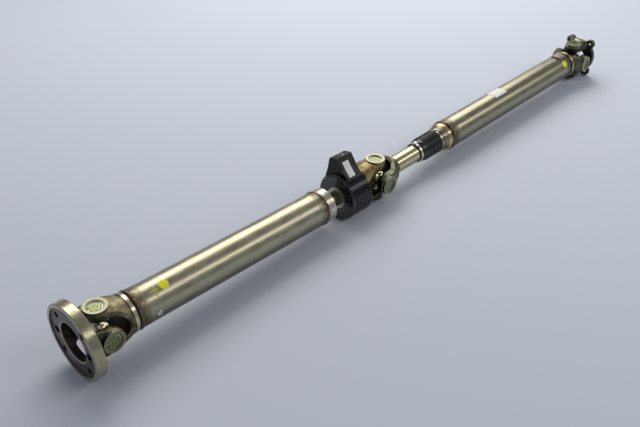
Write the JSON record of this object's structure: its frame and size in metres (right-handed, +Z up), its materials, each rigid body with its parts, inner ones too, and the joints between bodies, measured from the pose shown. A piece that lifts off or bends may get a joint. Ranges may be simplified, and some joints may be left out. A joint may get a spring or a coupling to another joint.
{
  "type": "universal joint shaft",
  "caption": "Two-piece universal joint shaft with a round flange yoke, a rubber-mounted centre bearing, a booted slip joint and a lobed rear flange yoke.",
  "frame": {"origin": "centre of the near flange yoke's front face, on its axis", "axes": "+X along the shaft from the near flange to the rear flange, +Z up, as the shaft lies on a floor"},
  "size_m": [1.7451, 0.15, 0.1505],
  "materials": {
    "forged_steel": "satin",
    "dark_forging": "satin",
    "bare_tube": "satin",
    "machined_steel": "gloss",
    "cross_steel": "satin",
    "bearing_steel": "gloss",
    "spring_steel": "satin",
    "weld_metal": "matte",
    "plated_steel": "satin",
    "nipple_brass": "satin",
    "black_rubber": "matte",
    "black_paint": "satin"
  },
  "bodies": {
    "front_shaft": {"front_tube_yoke": "forged_steel", "front_tube_yoke_bearing_cups": "bearing_steel", "front_tube_yoke_snap_rings": "spring_steel", "front_weld_near": "weld_metal", "front_tube": "bare_tube", "vent_plug": "machined_steel", "front_weld_far": "weld_metal", "stub_shaft": "machined_steel", "centre_yoke": "forged_steel", "centre_yoke_bearing_cups": "bearing_steel", "centre_yoke_snap_rings": "spring_steel", "yoke_washer": "machined_steel", "yoke_nut": "machined_steel", "front_deflector": "plated_steel", "rear_deflector": "plated_steel", "bearing_inner_race": "bearing_steel"},
    "near_cross_set": {"near_cross": "cross_steel", "near_trunnion_seals": "black_rubber", "near_needle_rollers": "bearing_steel", "near_grease_nipple": "nipple_brass"},
    "near_flange": {"near_flange_yoke": "dark_forging", "near_flange_bearing_cups": "bearing_steel", "near_flange_snap_rings": "spring_steel"},
    "ball_set": {"bearing_cage": "bearing_steel", "bearing_balls": "bearing_steel"},
    "centre_support": {"bearing_outer_race": "bearing_steel", "bearing_seals": "black_rubber", "bearing_carrier": "plated_steel", "rubber_cushion": "black_rubber", "support_foot": "black_paint", "foot_insert": "plated_steel"},
    "centre_cross_set": {"centre_cross": "cross_steel", "centre_trunnion_seals": "black_rubber", "centre_needle_rollers": "bearing_steel", "centre_grease_nipple": "nipple_brass"},
    "slip_yoke_set": {"slip_yoke": "forged_steel", "slip_yoke_bearing_cups": "bearing_steel", "slip_yoke_snap_rings": "spring_steel", "front_boot_clamp": "machined_steel"},
    "rear_shaft": {"slip_sleeve": "machined_steel", "rear_boot_clamp": "machined_steel", "slip_boot": "black_rubber", "rear_weld_near": "weld_metal", "rear_tube": "bare_tube", "rear_weld_far": "weld_metal", "rear_tube_yoke": "forged_steel", "rear_tube_yoke_bearing_cups": "bearing_steel", "rear_tube_yoke_snap_rings": "spring_steel", "balance_weight": "plated_steel"},
    "rear_cross_set": {"rear_cross": "cross_steel", "rear_trunnion_seals": "black_rubber", "rear_needle_rollers": "bearing_steel", "rear_grease_nipple": "nipple_brass"},
    "rear_flange": {"rear_flange_yoke": "dark_forging", "rear_flange_bearing_cups": "bearing_steel", "rear_flange_snap_rings": "spring_steel"}
  },
  "joints": [
    {"name": "near_cross_turn", "type": "hinge", "parent": "front_shaft", "child": "near_cross_set", "pos_m": [0.053, 0, 0], "axis": [0.034, 0, 0.9994], "range_deg": [-14, 14]},
    {"name": "near_flange_swing", "type": "hinge", "parent": "near_cross_set", "child": "near_flange", "pos_m": [0.053, 0, 0], "axis": [0, 1, 0], "range_deg": [-14, 14]},
    {"name": "support_spin", "type": "hinge", "parent": "front_shaft", "child": "centre_support", "pos_m": [0.68513, 0, -0.0215], "axis": [0.9994, 0, -0.034], "continuous": true},
    {"name": "ball_set_spin", "type": "hinge", "parent": "front_shaft", "child": "ball_set", "pos_m": [0.68513, 0, -0.0215], "axis": [0.9994, 0, -0.034], "continuous": true},
    {"name": "centre_cross_turn", "type": "hinge", "parent": "front_shaft", "child": "centre_cross_set", "pos_m": [0.78258, 0, -0.02481], "axis": [0.034, 0, 0.9994], "range_deg": [-18, 18]},
    {"name": "slip_yoke_swing", "type": "hinge", "parent": "centre_cross_set", "child": "slip_yoke_set", "pos_m": [0.78258, 0, -0.02481], "axis": [0, 1, 0], "range_deg": [-18, 18]},
    {"name": "slip", "type": "slide", "parent": "slip_yoke_set", "child": "rear_shaft", "axis": [1, 0, 0.006], "range_m": [-0.02, 0.025], "deforming": ["slip_boot"]},
    {"name": "rear_cross_swing", "type": "hinge", "parent": "rear_shaft", "child": "rear_cross_set", "pos_m": [1.69056, 0, -0.0194], "axis": [0, 1, 0], "range_deg": [-18, 18]},
    {"name": "rear_flange_turn", "type": "hinge", "parent": "rear_cross_set", "child": "rear_flange", "pos_m": [1.69056, 0, -0.0194], "axis": [0, 0, 1], "range_deg": [-18, 18]}
  ],
  "couplings": [
    {"joint": "ball_set_spin", "follows": "support_spin", "ratio": 0.602}
  ]
}
